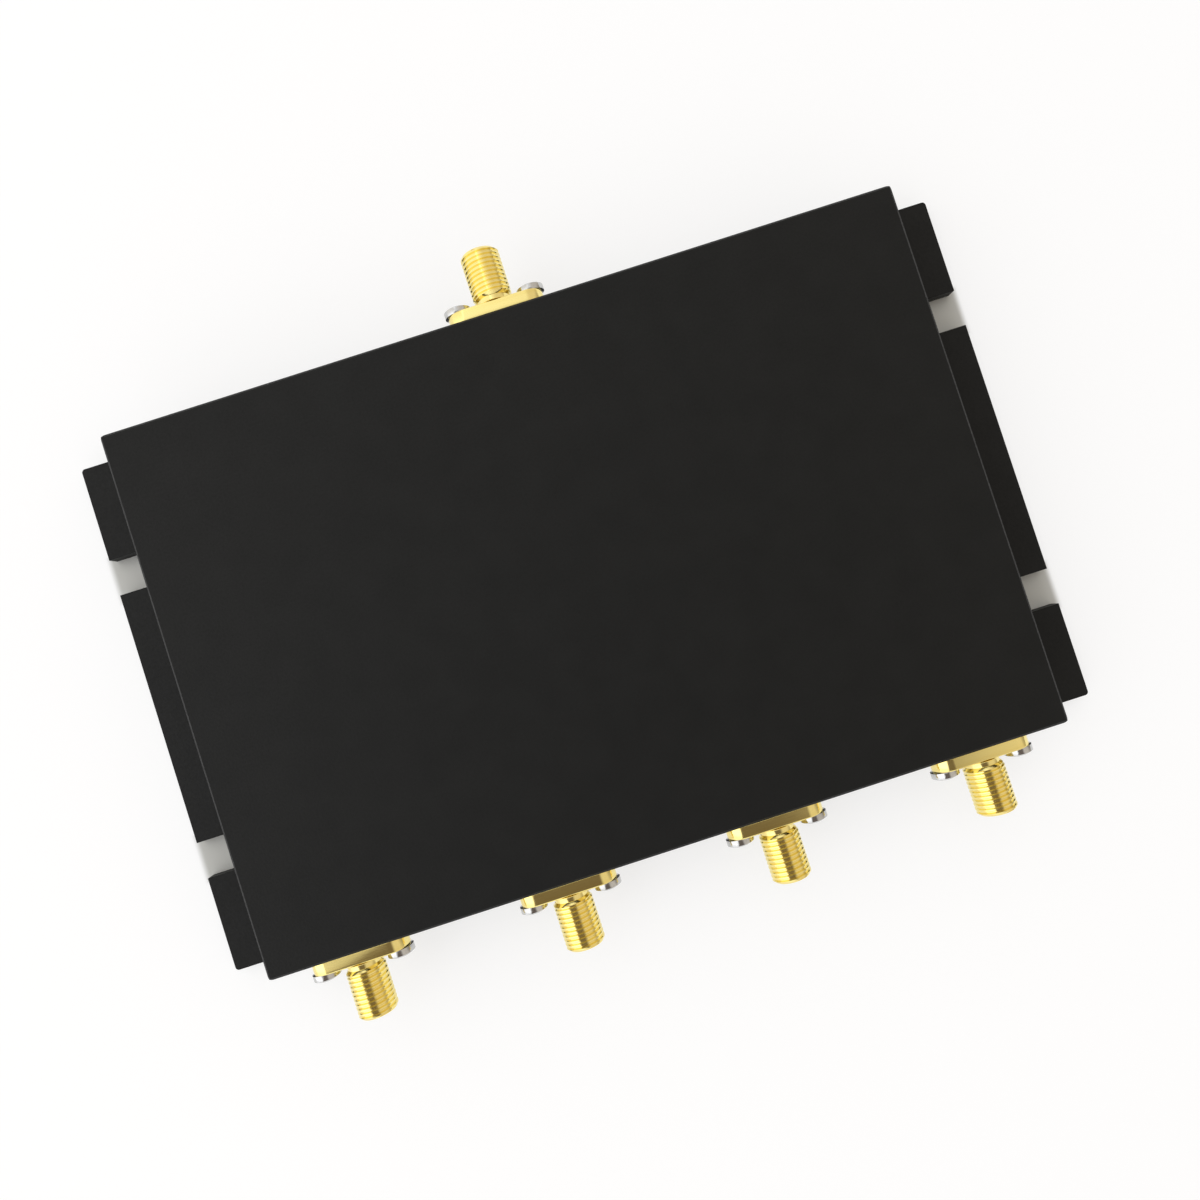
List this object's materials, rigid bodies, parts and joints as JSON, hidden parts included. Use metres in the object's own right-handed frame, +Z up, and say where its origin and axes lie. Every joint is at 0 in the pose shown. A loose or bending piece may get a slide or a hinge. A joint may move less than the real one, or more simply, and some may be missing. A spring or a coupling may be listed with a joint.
{
  "type": "rf power splitter",
  "caption": "Flat black box with one threaded coaxial jack on one long side and a row of them on the other, on a notched base plate; splits a radio signal evenly.",
  "frame": {"origin": "middle of the base plate's mounting face", "axes": "+X along the long side, +Y towards the input jack, +Z up out of the plain face"},
  "size_m": [0.151, 0.1102, 0.015],
  "materials": {
    "black_finish": "matt black over aluminium",
    "gold_plate": "bright gold plate over brass",
    "screw_steel": "plain stainless steel",
    "ptfe": "turned white plastic",
    "laminate": "woven glass laminate",
    "copper": "etched copper",
    "chip": "glazed film resistor",
    "solder": "flowed solder"
  },
  "bodies": {
    "root": {"housing": "black_finish", "base_plate": "black_finish", "plate_screws": "screw_steel", "ground_foil": "copper", "board": "laminate", "copper_lines": "copper", "resistors": "chip", "board_screws": "screw_steel", "solder_beads": "solder", "flange_screws": "screw_steel", "input_shell": "gold_plate", "input_insulator": "ptfe", "input_contact": "gold_plate", "output_1_shell": "gold_plate", "output_1_insulator": "ptfe", "output_1_contact": "gold_plate", "output_2_shell": "gold_plate", "output_2_insulator": "ptfe", "output_2_contact": "gold_plate", "output_3_shell": "gold_plate", "output_3_insulator": "ptfe", "output_3_contact": "gold_plate", "output_4_shell": "gold_plate", "output_4_insulator": "ptfe", "output_4_contact": "gold_plate"}
  },
  "joints": []
}
